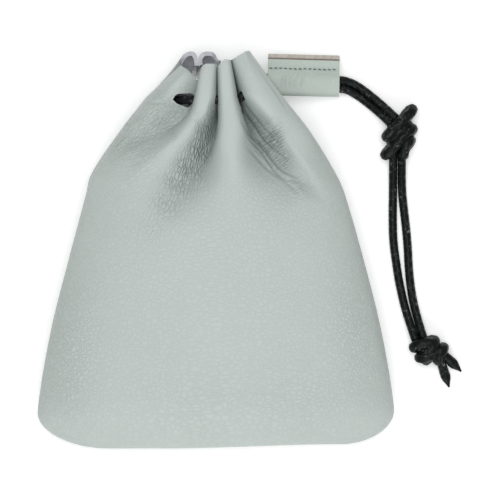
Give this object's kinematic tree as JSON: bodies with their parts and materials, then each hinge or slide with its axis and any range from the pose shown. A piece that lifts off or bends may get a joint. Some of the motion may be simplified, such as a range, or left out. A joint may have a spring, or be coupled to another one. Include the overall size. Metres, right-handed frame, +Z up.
{
  "type": "leather drawstring coin purse",
  "caption": "Small soft leather pouch gathered at its neck by a waxed cord, whose two ends pass through a folded leather slider and are knotted together.",
  "frame": {"origin": "on the surface under the middle of the purse, without its free cord", "axes": "+Y from the bottom seam to the mouth, +Z up from the back panel that it lies on to the front panel"},
  "size_m": [0.1187, 0.1116, 0.0241],
  "materials": {
    "purse_leather": "soft pebbled grain, satin",
    "slider_leather": "smooth satin with raw edges",
    "waxed_cord": "waxed round braid"
  },
  "bodies": {
    "root": {"purse_front": "purse_leather", "purse_back": "purse_leather", "drawstring_loop": "waxed_cord", "slider": "slider_leather", "strand_front": "waxed_cord", "strand_back": "waxed_cord", "upper_knot": "waxed_cord", "run_left": "waxed_cord", "run_right": "waxed_cord", "end_knot": "waxed_cord"}
  },
  "joints": []
}
